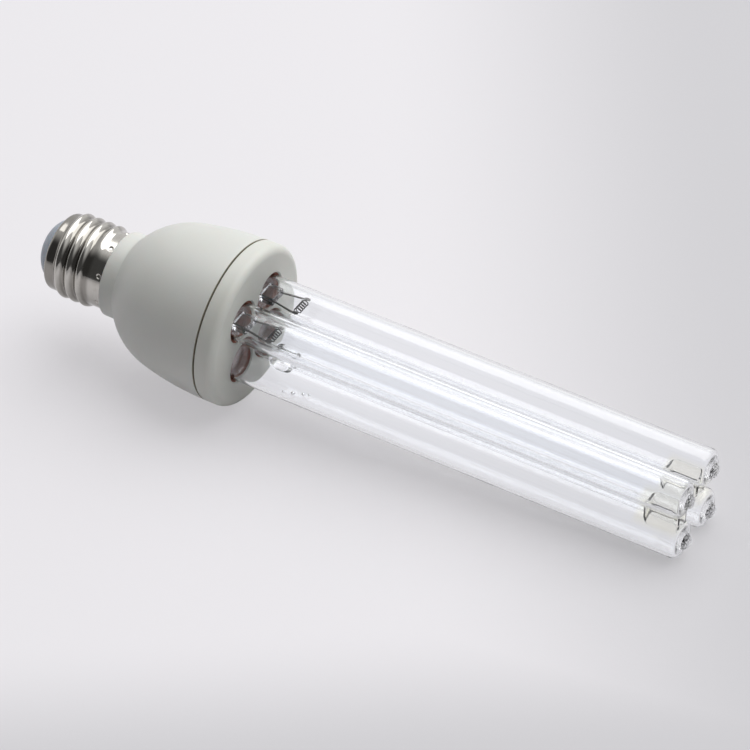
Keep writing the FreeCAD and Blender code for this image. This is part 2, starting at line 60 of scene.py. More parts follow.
# Radii and spacings
SHELL_ROOT = 12.1
SHELL_WALL = 0.35
SHELL_LIP = 10.4
FRONT_ROUND = 1.2
THREAD_HEIGHT = 1.05
THREAD_PITCH = 3.629
THREAD_TURNS = 3.6
THREAD_STATION = SHELL_FRONT + 2.6
NECK = 13.4
SEAM_RADIUS = 25.545
SEAM_ROUND = 0.28
HOLE = 6.7
TUBE = 6.0
TUBE_WALL = 1.0
TUBE_ROUND = 2.4
HALF = 7.65
RIVET_SHANK = 1.6
RIVET_SEAT = 1.3

TUBES = {
    "upper_far": (-HALF, HALF),
    "upper_near": (-HALF, -HALF),
    "lower_near": (HALF, -HALF),
    "lower_far": (HALF, HALF),
}
ELECTRODES = {"far": TUBES["upper_far"], "near": TUBES["upper_near"]}
FAR_BRIDGE = SEAM + 145.0
NEAR_BRIDGE = SEAM + 147.0
BASE_BRIDGE = SEAM + 16.5
# Length along the tubes, width and corner radius of a bridge
FAR_SLOT = (11.4, 7.6, 2.0)
BASE_SLOT = (7.6, 5.4, 2.4)
BRIDGES = (
    ("upper_far", "lower_far", FAR_BRIDGE, FAR_SLOT),
    ("upper_near", "lower_near", NEAR_BRIDGE, FAR_SLOT),
    ("lower_near", "lower_far", BASE_BRIDGE, BASE_SLOT),
)
COIL_STATION = SEAM + 17.5
# The press inside each electrode's tube and the pinched seal below it: sizes in x, y and z, and stations
PRESS_SIZE = (2.6, 6.6, 4.9)
PRESS_MIDDLE = SEAM + 7.05
PINCH_SIZE = (3.2, 10.6, 8.4)
PINCH_MIDDLE = SEAM - 0.8
# Closeness of the lumps on the sealed tips, and their depth as a part of the tip's size
TIP_LUMPS = 0.8
TIP_UNEVEN = 0.3


def tone(red, green, blue):
    """A colour from its 0 to 255 values on a screen, as the shader takes it."""
    def linear(level):
        level /= 255
        return level / 12.92 if level <= 0.04045 else ((level + 0.055) / 1.055) ** 2.4
    return (linear(red), linear(green), linear(blue), 1.0)


class Value:
    """A socket in a node tree. Arithmetic on it adds Math nodes."""

    def __init__(self, nodes, socket):
        self.nodes = nodes
        self.socket = socket

    def math(self, operation, *operands):
        """The result of a Math node on values or numbers."""
        return self.nodes.add("ShaderNodeMath", {"operation": operation}, dict(enumerate(operands)))

    def __add__(self, other):
        return self.math("ADD", self, other)

    def __radd__(self, other):
        return self.math("ADD", other, self)

    def __sub__(self, other):
        return self.math("SUBTRACT", self, other)

    def __rsub__(self, other):
        return self.math("SUBTRACT", other, self)

    def __mul__(self, other):
        return self.math("MULTIPLY", self, other)

    def __rmul__(self, other):
        return self.math("MULTIPLY", other, self)

    def __pow__(self, other):
        return self.math("POWER", self, other)

    def __abs__(self):
        return self.math("ABSOLUTE", self)


class Nodes:
    """A node tree under construction."""

    def __init__(self, tree):
        self.tree = tree

    def add(self, kind, settings=None, inputs=None, output=0):
        """Adds a node of a type, sets it up, fills its sockets and returns one of its outputs."""
        node = self.tree.nodes.new(kind)
        for name, setting in (settings or {}).items():
            if name == "stops":
                self.set_stops(node.color_ramp, setting)
            else:
                setattr(node, name, setting)
        for name, given in (inputs or {}).items():
            self.feed(node.inputs[name], given)
        return Value(self, node.outputs[output])

    def set_stops(self, ramp, stops):
        """Gives a colour ramp its stops."""
        while len(ramp.elements) < len(stops):
            ramp.elements.new(1.0)
        for element, (place, colour) in zip(ramp.elements, stops):
            element.position = place
            element.color = colour

    def feed(self, socket, given):
        """Links a value to a socket, or sets a constant."""
        if isinstance(given, Value):
            self.tree.links.new(given.socket, socket)
        else:
            socket.default_value = given

    def split(self, vector):
        """The three parts of a vector."""
        node = self.tree.nodes.new("ShaderNodeSeparateXYZ")
        self.feed(node.inputs[0], vector)
        return [Value(self, part) for part in node.outputs]

    def join(self, x, y, z):
        """A vector from three numbers."""
        return self.add("ShaderNodeCombineXYZ", None, {0: x, 1: y, 2: z})

    def ramp(self, factor, *stops):
        """A colour that runs through stops of (place, colour)."""
        return self.add("ShaderNodeValToRGB", {"stops": stops}, {"Fac": factor})

    def step(self, number, low, high):
        """A smooth step from 0 at low to 1 at high."""
        inputs = {"Value": number, "From Min": low, "From Max": high}
        return self.add("ShaderNodeMapRange", {"interpolation_type": "SMOOTHSTEP"}, inputs)

    def mix(self, factor, first, second):
        """A blend of two colours."""
        return self.add("ShaderNodeMix", {"data_type": "RGBA"}, {0: factor, 6: first, 7: second}, 2)

    def noise(self, vector, scale, detail=2.0, roughness=0.5):
        """Cloudy noise from 0 to 1."""
        inputs = {"Vector": vector, "Scale": scale, "Detail": detail, "Roughness": roughness}
        return self.add("ShaderNodeTexNoise", None, inputs)

    def cells(self, vector, scale):
        """Distance to the nearest of scattered points."""
        return self.add("ShaderNodeTexVoronoi", None, {"Vector": vector, "Scale": scale})


class Finish(Nodes):
    """A material with one surface shader. Patterns read the piece's own coordinates."""

    def __init__(self, name, constants):
        self.material = bpy.data.materials.new(name)
        self.material.use_nodes = True
        super().__init__(self.material.node_tree)
        self.shader = self.tree.nodes["Principled BSDF"]
        for socket, constant in constants.items():
            self.shader.inputs[socket].default_value = constant

    def lamp_point(self):
        """The point on the surface in the lamp's frame, in millimetres."""
        place = self.add("ShaderNodeTexCoord", None, None, "Object")
        inputs = {"Vector": place, "Location": CONTACT_TIP, "Rotation": LAMP_TURN, "Scale": (MM, MM, MM)}
        return self.add("ShaderNodeMapping", {"vector_type": "TEXTURE"}, inputs)

    def round_lamp(self, point):
        """Angle about the lamp's axis and distance from it."""
        x, y, _ = self.split(point)
        angle = y.math("ARCTAN2", y, x)
        return angle, (x * x + y * y) ** 0.5

    def set(self, **sockets):
        """Links values to the shader; an underscore in a name stands for a space."""
        for name, given in sockets.items():
            self.feed(self.shader.inputs[name.replace("_", " ")], given)

    def bump(self, *layers):
        """Relief from layers of (height from 0 to 1, depth in millimetres)."""
        normal = None
        for height, depth in layers:
            inputs = {"Height": height, "Distance": depth * MM, "Strength": 1.0}
            if normal:
                inputs["Normal"] = normal
            normal = self.add("ShaderNodeBump", None, inputs)
        self.set(Normal=normal)


def nickel_plate():
    """Thin rolled sheet, plated bright, with drawing marks round it, fine wear and painted shade darkening
    the thread roots.
    """
    finish = Finish("nickel_plate", {"Metallic": 1.0})
    point = finish.lamp_point()
    angle, radius = finish.round_lamp(point)
    _, _, z = finish.split(point)
    marks = finish.noise(finish.join(angle * 1.6, z * 7.0, 0.0), 1.0, 4.0, 0.6)
    clouds = finish.noise(point, 0.35, 4.0, 0.6)
    spots = finish.noise(point, 2.6, 3.0, 0.7)
    tarnish = finish.step(clouds, 0.42, 0.75)
    plain = finish.ramp(marks, (0.25, (0.43, 0.415, 0.385, 1)), (0.75, (0.56, 0.545, 0.51, 1)))
    worn = finish.mix(tarnish * 0.35, plain, (0.34, 0.32, 0.28, 1))
    # Painted shade: the thread roots in the threaded zone are darkened towards near-black.
    painted_root_shade = finish.step(radius, SHELL_ROOT + 0.75, SHELL_ROOT + 0.1) * finish.step(z, RIM - 4.0, RIM - 5.5)
    finish.set(Base_Color=finish.mix(painted_root_shade * 0.6, worn, (0.13, 0.12, 0.105, 1)))
    finish.set(Roughness=0.07 + marks * 0.07 + tarnish * 0.05 + finish.step(spots, 0.55, 0.8) * 0.06)
    finish.bump((marks, 0.003), (clouds, 0.008))
    return finish.material


def insulator_plastic():
    """Pale blue-grey moulded insulator."""
    constants = {"IOR": 1.49, "Subsurface Weight": 0.12, "Subsurface Scale": 0.002}
    finish = Finish("pale_blue_insulator", constants)
    point = finish.lamp_point()
    clouds = finish.noise(point, 0.4, 4.0, 0.6)
    grain = finish.noise(point, 9.0, 2.0)
    colour = finish.ramp(clouds, (0.3, tone(150, 159, 170)), (0.7, tone(166, 175, 185)))
    finish.set(Base_Color=colour)
    finish.set(Roughness=0.34 + grain * 0.14 + clouds * 0.08)
    finish.bump((grain, 0.01))
    return finish.material


def contact_metal():
    """Tinned brass contact with a dull soldered top."""
    finish = Finish("tinned_brass", {"Metallic": 1.0})
    point = finish.lamp_point()
    _, radius = finish.round_lamp(point)
    clouds = finish.noise(point, 1.1, 4.0, 0.6)
    solder = finish.step(radius + clouds * 1.2, 2.9, 2.3)
    brass = finish.ramp(clouds, (0.3, (0.55, 0.40, 0.17, 1)), (0.7, (0.70, 0.54, 0.27, 1)))
    finish.set(Base_Color=finish.mix(solder, brass, (0.58, 0.57, 0.55, 1)))
    finish.set(Roughness=0.22 + clouds * 0.18 + solder * 0.12)
    finish.bump((clouds, 0.05))
    return finish.material


def moulded_plastic(name, light, dark):
    """Off-white moulded plastic with a fine sparked grain, faint handling marks and a soiled seam."""
    finish = Finish(name, {"IOR": 1.5, "Subsurface Weight": 0.06, "Subsurface Scale": 0.0015})
    point = finish.lamp_point()
    flow = finish.noise(point, 0.05, 4.0, 0.55)
    grain = finish.cells(point, 3.4)
    fine = finish.noise(point, 6.0, 3.0, 0.6)
    scuffs = finish.noise(point, 0.9, 5.0, 0.7)
    _, _, z = finish.split(point)
    seam = finish.step(abs(z - SEAM - 0.17), 0.46, 0.26)
    plain = finish.ramp(flow * 0.7 + fine * 0.3, (0.3, dark), (0.7, light))
    finish.set(Base_Color=finish.mix(seam * 0.8, plain, tone(118, 112, 88)))
    finish.set(Roughness=0.42 + fine * 0.12 + finish.step(scuffs, 0.5, 0.75) * 0.10)
    finish.bump((grain, 0.012), (fine, 0.008))
    return finish.material


def fused_quartz():
    """Clear drawn quartz with faint draw lines, warm where bridged, uneven at the ends."""
    finish = Finish("fused_quartz", {"IOR": 1.458, "Transmission Weight": 1.0})
    point = finish.lamp_point()
    x, y, z = finish.split(point)
    lines = finish.noise(finish.join(x * 1.3, y * 1.3, z * 0.012), 1.0, 4.0, 0.6)
    ripple = finish.noise(finish.join(x * 0.25, y * 0.25, z * 0.05), 1.0, 2.0)
    lumps = finish.noise(point, 1.5, 3.0, 0.6)
    along = finish.step(abs(z - (FAR_BRIDGE + NEAR_BRIDGE) / 2), 8.5, 6.0)
    between = finish.step(abs(x), 4.6, 2.6)
    clear = finish.ramp(lines, (0.25, (0.972, 0.984, 0.999, 1)), (0.75, (0.986, 0.993, 1.0, 1)))
    finish.set(Base_Color=finish.mix(along * between, clear, (0.975, 0.97, 0.90, 1)))
    finish.set(Roughness=0.004 + finish.step(lines, 0.55, 0.85) * 0.015)
    aside, over = abs(x) - HALF, abs(y) - HALF
    middle = finish.step((aside * aside + over * over) ** 0.5, 4.9, 4.1)
    ends = finish.step(z, TUBE_END - 1.2, TUBE_END - 0.2) * middle
    finish.bump((lines, 0.006), (ripple, 0.04), (lumps * ends, 0.14))
    return finish.material


def wire_metal(name, light, dark, gloss):
    """Drawn wire, darkened by heat in patches."""
    finish = Finish(name, {"Metallic": 1.0})
    point = finish.lamp_point()
    patches = finish.noise(point, 1.7, 4.0, 0.65)
    marks = finish.noise(point, 14.0, 2.0)
    finish.set(Base_Color=finish.ramp(patches, (0.3, dark), (0.7, light)))
    finish.set(Roughness=gloss + patches * 0.2 + marks * 0.1)
    finish.bump((marks, 0.01))
    return finish.material


def foil_metal():
    """Rolled foil with lines along the lamp."""
    finish = Finish("seal_foil", {"Metallic": 1.0})
    point = finish.lamp_point()
    x, y, z = finish.split(point)
    lines = finish.noise(finish.join(x, y * 6.0, z * 0.3), 1.0, 3.0)
    finish.set(Base_Color=finish.ramp(lines, (0.3, (0.42, 0.42, 0.43, 1)), (0.7, (0.62, 0.62, 0.62, 1))))
    finish.set(Roughness=0.25 + lines * 0.2)
    finish.bump((lines, 0.015))
    return finish.material


def red_cement():
    """Grainy red-brown cement."""
    finish = Finish("red_brown_cement", {"Specular IOR Level": 0.3})
    point = finish.lamp_point()
    clouds = finish.noise(point, 0.5, 5.0, 0.65)
    grit = finish.cells(point, 2.6)
    fine = finish.noise(point, 5.0, 3.0, 0.7)
    colour = finish.ramp(clouds, (0.3, tone(124, 80, 68)), (0.7, tone(164, 112, 97)))
    finish.set(Base_Color=finish.mix(finish.step(grit, 0.25, 0.05) * 0.6, colour, tone(140, 104, 92)))
    finish.set(Roughness=0.75 + fine * 0.2)
    finish.bump((grit, 0.05), (fine, 0.06))
    return finish.material


def mercury():
    """Bright liquid metal with a faint skin."""
    finish = Finish("mercury", {"Metallic": 1.0})
    point = finish.lamp_point()
    skin = finish.noise(point, 1.8, 3.0)
    finish.set(Base_Color=finish.ramp(skin, (0.3, (0.60, 0.60, 0.61, 1)), (0.7, (0.76, 0.76, 0.77, 1))))
    finish.set(Roughness=0.03 + finish.step(skin, 0.5, 0.8) * 0.1)
    finish.bump((skin, 0.01))
    return finish.material


def board_laminate():
    """Woven laminate under a green lacquer."""
    finish = Finish("board_laminate", {"IOR": 1.52})
    point = finish.lamp_point()
    x, y, _ = finish.split(point)
    warp = (x * 5.2).math("SINE", x * 5.2)
    weft = (y * 5.2).math("SINE", y * 5.2)
    weave = (warp * weft + 1.0) * 0.5
    clouds = finish.noise(point, 0.2, 4.0)
    green = finish.ramp(clouds, (0.3, tone(30, 74, 46)), (0.7, tone(44, 96, 60)))
    finish.set(Base_Color=finish.mix(weave * 0.3, green, tone(92, 130, 84)))
    finish.set(Roughness=0.32 + weave * 0.12)
    finish.bump((weave, 0.02))
    return finish.material


def wound_copper():
    """Layers of enamelled wire wound round the core's middle leg."""
    finish = Finish("wound_copper", {"Metallic": 0.9})
    point = finish.lamp_point()
    _, _, z = finish.split(point)
    turns = ((z * 15.7).math("SINE", z * 15.7) + 1.0) * 0.5
    clouds = finish.noise(point, 0.7, 4.0)
    enamel = finish.ramp(clouds, (0.3, tone(128, 62, 34)), (0.7, tone(168, 92, 52)))
    # The dark lines between the turns are painted shade in the grooves.
    finish.set(Base_Color=finish.mix(finish.step(turns, 0.3, 0.0), enamel, tone(60, 28, 18)))
    finish.set(Roughness=0.25 + clouds * 0.2)
    finish.bump((turns, 0.12))
    return finish.material


def dipped(name, light, dark, gloss, depth=0.03):
    """Moulded or dipped coating of a small component."""
    finish = Finish(name, {"IOR": 1.5})
    point = finish.lamp_point()
    clouds = finish.noise(point, 0.6, 4.0, 0.6)
    grain = finish.noise(point, 7.0, 3.0, 0.6)
    finish.set(Base_Color=finish.ramp(clouds * 0.7 + grain * 0.3, (0.3, dark), (0.7, light)))
    finish.set(Roughness=gloss + grain * 0.15)
    finish.bump((grain, depth))
    return finish.material


class Outline:
    """A line drawn from point to point as (radius, station), to be turned about an axis."""

    def __init__(self, radius, station):
        self.bm = bmesh.new()
        self.tip = self.bm.verts.new((radius, 0.0, station))

    def line(self, radius, station, cuts=0):
        """A straight run, cut into equal parts."""
        start = self.tip.co.copy()
        end = Vector((radius, 0.0, station))
        for part in range(1, cuts + 2):
            made = bmesh.ops.extrude_vert_indiv(self.bm, verts=[self.tip])
            self.tip = made["verts"][0]
            self.tip.co = start.lerp(end, part / (cuts + 1))
        return self

    def arc(self, radius, station, bend, steps=8):
        """An arc that bulges to the right of the way, or to the left if the bend is negative."""
        start = self.tip.co.copy()
        end = Vector((radius, 0.0, station))
        chord = end - start
        left = Vector((-chord.z, 0.0, chord.x)).normalized()
        drop = math.sqrt(max(bend * bend - chord.length_squared / 4, 0.0))
        centre = (start + end) / 2 + left * math.copysign(drop, bend)
        angle = 2 * math.asin(min(chord.length / 2 / abs(bend), 1.0))
        made = bmesh.ops.spin(
            self.bm, geom=[self.tip], cent=centre, axis=(0, -1, 0),
            angle=math.copysign(angle, bend), steps=steps,
        )
        self.tip = next(item for item in made["geom_last"] if isinstance(item, bmesh.types.BMVert))
        return self

    def soften(self, radius, station, size, segments=5):
        """Rounds the corner at a point already drawn."""
        corner = min(self.bm.verts, key=lambda v: (v.co - Vector((radius, 0.0, station))).length)
        bmesh.ops.bevel(
            self.bm, geom=[corner], offset=size, offset_type="OFFSET", segments=segments, profile=0.5,
            affect="VERTICES", material=-1,
        )
        return self

    def turn(self, steps, x=0.0, y=0.0):
        """Turns the line once round and moves it to an axis."""
        bm = self.bm
        bmesh.ops.spin(
            bm, geom=bm.verts[:] + bm.edges[:], cent=(0, 0, 0), axis=(0, 0, 1),
            angle=2 * math.pi, steps=steps, use_merge=True,
        )
        bmesh.ops.remove_doubles(bm, verts=bm.verts, dist=1e-4)
        bmesh.ops.recalc_face_normals(bm, faces=bm.faces)
        bmesh.ops.translate(bm, verts=bm.verts, vec=(x, y, 0.0))
        return bm


def joined(parts):
    """Several meshes as one."""
    whole = bmesh.new()
    for part in parts:
        mesh = bpy.data.meshes.new("part")
        part.to_mesh(mesh)
        part.free()
        whole.from_mesh(mesh)
        bpy.data.meshes.remove(mesh)
    return whole


def place(name, bm, material, slot, *nodes, sharp=40.0):
    """Puts a finished mesh where the lamp lies, as a piece that stands for CAD nodes."""
    bmesh.ops.transform(bm, matrix=LAMP, verts=bm.verts)
    mesh = bpy.data.meshes.new(name)
    bm.to_mesh(mesh)
    bm.free()
    mesh.shade_smooth()
    mesh.set_sharp_from_angle(angle=math.radians(sharp))
    mesh.materials.append(material)
    piece = bpy.data.objects.new(name, mesh)
    bpy.context.collection.objects.link(piece)
    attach(piece, "root")
    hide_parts(*nodes)


def smooth_rise(number, low, high):
    """0 below low, 1 above high, smooth between."""
    part = min(max((number - low) / (high - low), 0.0), 1.0)
    return part * part * (3 - 2 * part)


# Staking marks on the shell's skirt: angles about the axis, and the station of their row
PUNCH_ANGLES = [math.radians(17.0 + 45.0 * number) for number in range(8)]
PUNCH_STATION = RIM - 1.5
PUNCH_SIZE = 0.62
PUNCH_DEPTH = 0.5
# The part of a turn over which the thread fades, and the stations between which the skin begins to carry it
THREAD_FADE = 0.22
SKIN_START = 7.0
SKIN_FULL = 7.9


def thread_rise(angle, station):
    """Height of the rolled thread above its root."""
    turns = angle / (2 * math.pi)
    phase = (station - THREAD_STATION) / THREAD_PITCH - turns
    nearest = round(phase)
    wound = turns + nearest
    starts = smooth_rise(wound, -0.02, THREAD_FADE)
    stops = smooth_rise(wound, THREAD_TURNS - THREAD_FADE, THREAD_TURNS + 0.05)
    fade = starts * (1 - stops)
    wave = 0.5 + 0.5 * math.cos(2 * math.pi * (phase - nearest))
    return THREAD_HEIGHT * fade * wave * smooth_rise(station, SKIN_START, SKIN_FULL)


def punch_depth(angle, station):
    """Depth of the staking marks at a point of the skirt."""
    depth = 0.0
    for mark in PUNCH_ANGLES:
        apart = math.remainder(angle - mark, 2 * math.pi) * SHELL_ROOT
        away = math.hypot(apart, station - PUNCH_STATION) / PUNCH_SIZE
        depth = max(depth, PUNCH_DEPTH * math.exp(-away ** 4))
    return depth


def make_screw_shell():
    """Rolled sheet with a rounded thread, a turned-in lip and staking marks in its skirt."""
    inside = SHELL_ROOT - SHELL_WALL
    lip_back = SHELL_FRONT + SHELL_WALL
    round_end = SHELL_FRONT + FRONT_ROUND
    inner_round = FRONT_ROUND - SHELL_WALL
    edge = 0.12
    outline = Outline(inside, RIM).line(inside, round_end).arc(inside - inner_round, lip_back, -inner_round)
    outline.line(SHELL_LIP, lip_back).arc(SHELL_LIP, SHELL_FRONT, SHELL_WALL / 2, 6)
    outline.line(SHELL_ROOT - FRONT_ROUND, SHELL_FRONT).arc(SHELL_ROOT, round_end, FRONT_ROUND, 10)
    outline.line(SHELL_ROOT, RIM - edge, 110).arc(SHELL_ROOT - edge, RIM, edge, 4).line(inside, RIM)
    bm = outline.turn(360)
    for vert in bm.verts:
        radius = math.hypot(vert.co.x, vert.co.y)
        if radius > SHELL_ROOT - 0.01 and vert.co.z > SKIN_START:
            angle = math.atan2(vert.co.y, vert.co.x) % (2 * math.pi)
            rise = thread_rise(angle, vert.co.z) - punch_depth(angle, vert.co.z)
            vert.co.xy *= 1 + rise / radius
    place("rolled_screw_shell", bm, nickel_plate(), "cap_nickel", "screw_shell")


def make_insulator():
    """Domed cone with softened edges, and its flange behind the shell's lip."""
    lip_back = SHELL_FRONT + SHELL_WALL
    base = 10.25
    flange = 11.6
    back = 9.35
    outline = Outline(RIVET_SHANK, RIVET_SEAT).line(5.1, RIVET_SEAT).arc(5.5, 1.42, 0.45, 5)
    outline.arc(base - 0.05, SHELL_FRONT - 0.15, 8.0, 14).line(base, SHELL_FRONT).line(base, lip_back)
    outline.line(SHELL_LIP, lip_back).line(flange, 7.55).line(flange, back)
    outline.line(RIVET_SHANK, back).line(RIVET_SHANK, RIVET_SEAT)
    place("insulator_cone", outline.turn(128), insulator_plastic(), "insulator_plastic",
          "cap_insulator", sharp=30)


def make_contact():
    """Domed rivet with a low collar."""
    head = 4.6
    end = 9.3
    dome = (head ** 2 + RIVET_SEAT ** 2) / (2 * RIVET_SEAT)
    outline = Outline(0, 0.006).arc(4.45, 1.2, dome, 14).arc(4.4, RIVET_SEAT, 0.08, 4)
    outline.line(RIVET_SHANK, RIVET_SEAT).line(RIVET_SHANK, end).line(0, end)
    place("contact_rivet", outline.turn(96), contact_metal(), "contact_brass", "centre_contact", sharp=30)


def make_case():
    """Bowl with its neck, crease and mouth."""
    bore = 10.2
    spigot = 11.6
    spigot_end = 13.4
    mouth = 23.85
    ledge = 57.5
    neck_round = 0.5
    outline = Outline(bore, spigot_end).line(spigot, spigot_end).line(spigot, RIM)
    outline.line(NECK - neck_round, RIM).arc(NECK, RIM + neck_round, neck_round, 6)
    outline.line(NECK, BOWL, 6).arc(22.86, SHOULDER, 24.0, 30)
    outline.arc(SEAM_RADIUS - 0.025, SEAM - 0.3, 95.0, 20).arc(SEAM_RADIUS - SEAM_ROUND, SEAM, 0.3, 5)
    outline.line(mouth, SEAM).line(mouth, ledge).line(22.2, ledge).line(21.16, SHOULDER)
    outline.arc(bore, BOWL + 1.7, -22.3, 24).line(bore, spigot_end)
    outline.soften(NECK, BOWL, 0.7, 6)
    light, dark = tone(212, 213, 208), tone(206, 207, 201)
    place("bowl_case", outline.turn(192), moulded_plastic("case_plastic", light, dark), "case_plastic",
          "ballast_case", sharp=50)


def filled_face(bm, station, normal):
    """Fills the flat face between the open rings at a station."""
    edges = [e for e in bm.edges if e.is_boundary and all(abs(v.co.z - station) < 1e-3 for v in e.verts)]
    bmesh.ops.triangle_fill(bm, edges=edges, use_beauty=True, normal=normal)


def make_lid():
    """Lid with a rounded edge, four rounded holes with sleeves, and the spigot below."""
    edge_round = 2.5
    edge = SEAM_RADIUS - edge_round
    back = FACE - 2.0
    spigot = 23.7
    spigot_bore = 22.3
    spigot_end = 59.1
    seam_top = SEAM + 0.35
    sleeve = HOLE + 0.9
    sleeve_end = 64.5
    hole_round = 0.3
    rim = Outline(spigot_bore, back).line(spigot_bore, spigot_end).line(spigot, spigot_end)
    rim.line(spigot, seam_top).line(SEAM_RADIUS - SEAM_ROUND, seam_top)
    rim.arc(SEAM_RADIUS, seam_top + SEAM_ROUND, SEAM_ROUND, 5)
    rim.line(SEAM_RADIUS, FACE - edge_round, 4).arc(edge, FACE, edge_round, 14).line(edge - 0.4, FACE)
    parts = [rim.turn(192)]
    for x, y in TUBES.values():
        hole = Outline(HOLE + 0.55, FACE).line(HOLE + hole_round, FACE)
        hole.arc(HOLE, FACE - hole_round, -hole_round, 5)
        hole.line(HOLE, sleeve_end).line(sleeve, sleeve_end).line(sleeve, back)
        parts.append(hole.turn(96, x, y))
    bm = joined(parts)
    filled_face(bm, FACE, (0, 0, 1))
    filled_face(bm, back, (0, 0, -1))
    bmesh.ops.remove_doubles(bm, verts=bm.verts, dist=1e-4)
    bmesh.ops.recalc_face_normals(bm, faces=bm.faces)
    light, dark = tone(213, 214, 207), tone(207, 208, 200)
    place("holed_lid", bm, moulded_plastic("lid_plastic", light, dark), "cover_plastic",
          "lamp_cover", sharp=50)


# Cuts along a tube beside the base bridge, for tubes without it and with it, and half the length they fill
PLAIN_CUTS = 6
BRIDGED_CUTS = 34
CUTS_REACH = 7
TUBE_STEPS = 96


def tube_outline(shrink, base_cuts):
    """Half section of a tube's outer skin, or of its bore when shrunk, from the foot to the far end."""
    radius = TUBE - shrink
    corner = TUBE_ROUND - shrink
    foot = TUBE_FOOT + shrink
    end = TUBE_END - shrink
    outline = Outline(0, foot).line(radius - corner, foot, 2).arc(radius, foot + corner, corner, 8)
    outline.line(radius, BASE_BRIDGE - CUTS_REACH, 4).line(radius, BASE_BRIDGE + CUTS_REACH, base_cuts)
    outline.line(radius, FAR_BRIDGE - CUTS_REACH, 12).line(radius, TUBE_END - TUBE_ROUND, 30)
    outline.arc(radius - corner, end, corner, 10)
    if shrink:
        return outline.line(0, end, 3)
    return outline.line(3.4, end).arc(2.5, end + 0.6, -0.8, 6).arc(0, TIP, 2.7, 12)


def open_bridge(bm, first, second, station, slot, shrink):
    """Opens two neighbouring tubes towards each other and joins the openings with a short rounded tube."""
    radius = TUBE - shrink
    length, width, rounding = slot
    corner = rounding - shrink
    flat_across = width / 2 - rounding
    flat_along = length / 2 - rounding
    rims = set()
    for here, there in ((first, second), (second, first)):
        axis = Vector((*here, 0.0))
        ahead = (Vector((*there, 0.0)) - axis).normalized()
        aside = Vector((-ahead.y, ahead.x, 0.0))

        def slot_place(point):
            """Nearest point of the slot's flat middle and the way from there, as (across, along)."""
            across, along = (point - axis).dot(aside), point.z - station
            middle = Vector((
                min(max(across, -flat_across), flat_across),
                min(max(along, -flat_along), flat_along),
            ))
            return middle, Vector((across, along)) - middle

        def inside(face):
            """Whether a face of the tube lies in the opening."""
            middle = face.calc_center_median()
            offset = Vector((middle.x, middle.y, 0.0)) - axis
            if offset.length > radius + 0.3 or offset.dot(ahead) < 0:
                return False
            return slot_place(middle)[1].length < corner

        doomed = [face for face in bm.faces if inside(face)]
        rim = {v for face in doomed for v in face.verts}
        bmesh.ops.delete(bm, geom=doomed, context="FACES")
        rim = [v for v in rim if v.is_valid and v.is_boundary]
        for vert in rim:
            middle, way = slot_place(vert.co)
            across, along = middle + way.normalized() * corner
            spot = axis + aside * across + ahead * math.sqrt(radius ** 2 - across ** 2)
            vert.co = (spot.x, spot.y, station + along)
        rims |= {e for v in rim for e in v.link_edges if e.is_boundary}
    edges = [edge for edge in bm.edges if edge in rims]
    bmesh.ops.bridge_loops(bm, edges=edges)
    bmesh.ops.bevel(
        bm, geom=edges, offset=0.22, offset_type="OFFSET", segments=3, profile=0.5,
        affect="EDGES", material=-1,
    )


def roughen_tip(bm, x, y):
    """Makes the sealed tip of a tube uneven, inwards only."""
    seat = Vector((x, y, TUBE_END))
    for vert in bm.verts:
        rise = smooth_rise(vert.co.z, TUBE_END, TUBE_END + 0.6)
        if rise:
            lump = abs(noise.noise(vert.co * TIP_LUMPS)) * TIP_UNEVEN * rise
            vert.co = seat + (vert.co - seat) * (1 - lump)


def vessel_skin(shrink):
    """The outer skin of the whole vessel, or the skin of its hollow when shrunk by the wall."""
    parts = []
    for name, (x, y) in TUBES.items():
        base_cuts = PLAIN_CUTS if name.startswith("upper") else BRIDGED_CUTS
        bm = tube_outline(shrink, base_cuts).turn(TUBE_STEPS, x, y)
        roughen_tip(bm, x, y)
        parts.append(bm)
    whole = joined(parts)
    for first, second, station, slot in BRIDGES:
        open_bridge(whole, TUBES[first], TUBES[second], station, slot, shrink)
    bmesh.ops.recalc_face_normals(whole, faces=whole.faces)
    if shrink:
        bmesh.ops.reverse_faces(whole, faces=whole.faces)
    return whole


def slab(x, y, station, size):
    """A flat slab of quartz with softened edges."""
    bm = bmesh.new()
    place_at = Matrix.Translation((x, y, station)) @ Matrix.Diagonal((*size, 1.0))
    bmesh.ops.create_cube(bm, size=1.0, matrix=place_at)
    bmesh.ops.bevel(
        bm, geom=bm.edges[:], offset=0.4, offset_type="OFFSET", segments=4, profile=0.5,
        affect="EDGES", material=-1,
    )
    return bm


def make_vessel():
    """Four tubes fused to one hollow vessel, with a pinched seal and a press at each electrode."""
    slabs = []
    for x, y in ELECTRODES.values():
        slabs += [slab(x, y, PRESS_MIDDLE, PRESS_SIZE), slab(x, y, PINCH_MIDDLE, PINCH_SIZE)]
    bm = joined([vessel_skin(0.0), vessel_skin(TUBE_WALL), *slabs])
    place("fused_quartz_vessel", bm, fused_quartz(), "quartz", "quartz_vessel", sharp=38)


# Filament coils and their leads. A lead is thinner inside the press.
COIL_RADIUS = 1.0
COIL_WIRE = 0.16
COIL_LENGTH = 5.0
COIL_TURNS = 5
TURN_STEPS = 28
LEAD = 0.3
LEAD_SPACING = 4.4
LEAD_SPREAD = 7.2
THIN_SHARE = 0.4


